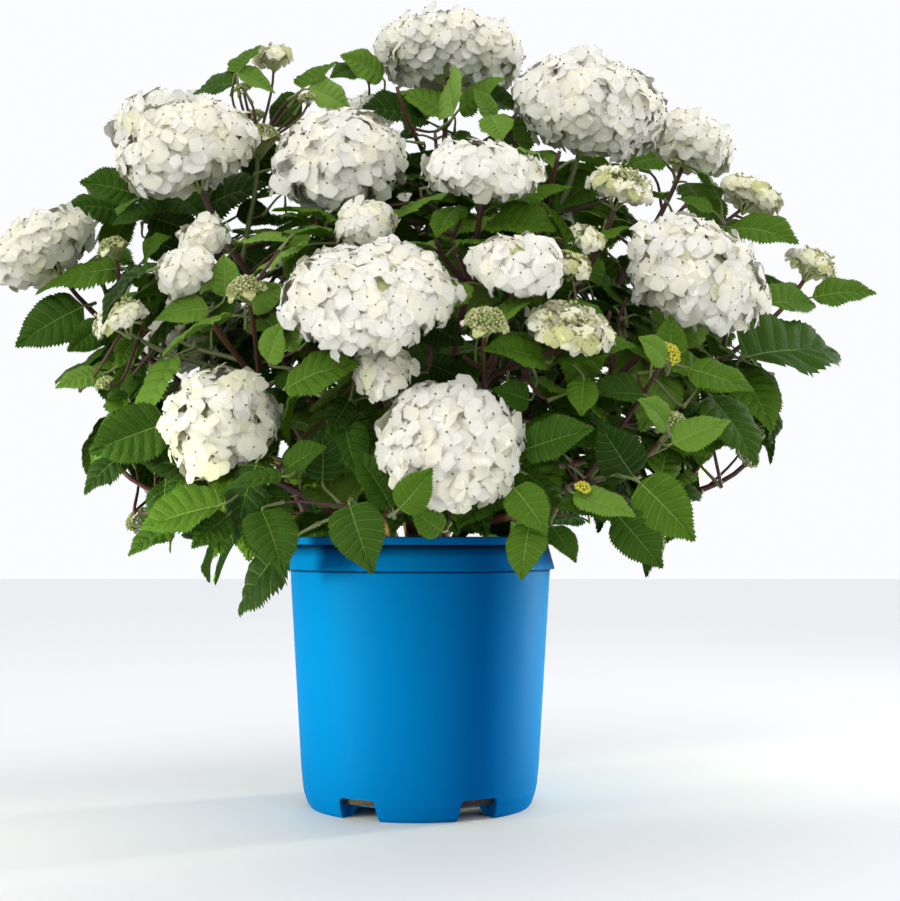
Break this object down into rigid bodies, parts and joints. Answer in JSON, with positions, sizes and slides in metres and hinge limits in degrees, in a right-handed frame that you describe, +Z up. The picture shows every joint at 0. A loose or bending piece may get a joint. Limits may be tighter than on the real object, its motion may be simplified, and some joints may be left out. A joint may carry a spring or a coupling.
{
  "type": "potted hydrangea shrub",
  "caption": "Bushy white mophead hydrangea in full bloom, growing from a ring of canes in a blue nursery pot with drain notches round its foot.",
  "frame": {"origin": "on the ground, on the upright axis of the pot, which is the middle of the whole plant within 3 mm", "axes": "+Z up the plant, -Y towards the front of the crown, +X to the right as seen from the front"},
  "size_m": [0.7795, 0.6606, 0.739],
  "materials": {
    "pot_plastic": "gloss",
    "potting_mix": "matte",
    "cane_bark": "matte",
    "bough_bark": "satin",
    "foliage": "matte"
  },
  "bodies": {
    "root": {"pot": "pot_plastic", "potting_mix": "potting_mix", "cane_01": "cane_bark", "cane_02": "cane_bark", "cane_03": "cane_bark", "cane_04": "cane_bark", "cane_05": "cane_bark", "cane_06": "cane_bark", "cane_07": "cane_bark", "cane_08": "cane_bark", "cane_09": "cane_bark", "cane_10": "cane_bark", "bough_01": "bough_bark", "bough_02": "bough_bark", "bough_03": "bough_bark", "bough_04": "bough_bark", "bough_05": "bough_bark", "bough_06": "bough_bark", "bough_07": "bough_bark", "bough_08": "bough_bark", "bough_09": "bough_bark", "bough_10": "bough_bark", "bough_11": "bough_bark", "bough_12": "bough_bark", "bough_13": "bough_bark", "bough_14": "bough_bark", "bough_15": "bough_bark", "bough_16": "bough_bark", "bough_17": "bough_bark", "bough_18": "bough_bark", "foliage_01": "foliage", "foliage_02": "foliage", "foliage_03": "foliage", "foliage_04": "foliage", "foliage_05": "foliage", "foliage_06": "foliage", "foliage_07": "foliage", "foliage_08": "foliage", "foliage_09": "foliage", "foliage_10": "foliage", "foliage_11": "foliage", "foliage_12": "foliage", "foliage_13": "foliage", "foliage_14": "foliage", "foliage_15": "foliage", "foliage_16": "foliage", "foliage_17": "foliage", "foliage_18": "foliage", "foliage_19": "foliage", "foliage_20": "foliage", "foliage_21": "foliage", "foliage_22": "foliage", "foliage_23": "foliage", "foliage_24": "foliage", "foliage_25": "foliage", "foliage_26": "foliage", "foliage_27": "foliage", "foliage_28": "foliage"}
  },
  "joints": []
}
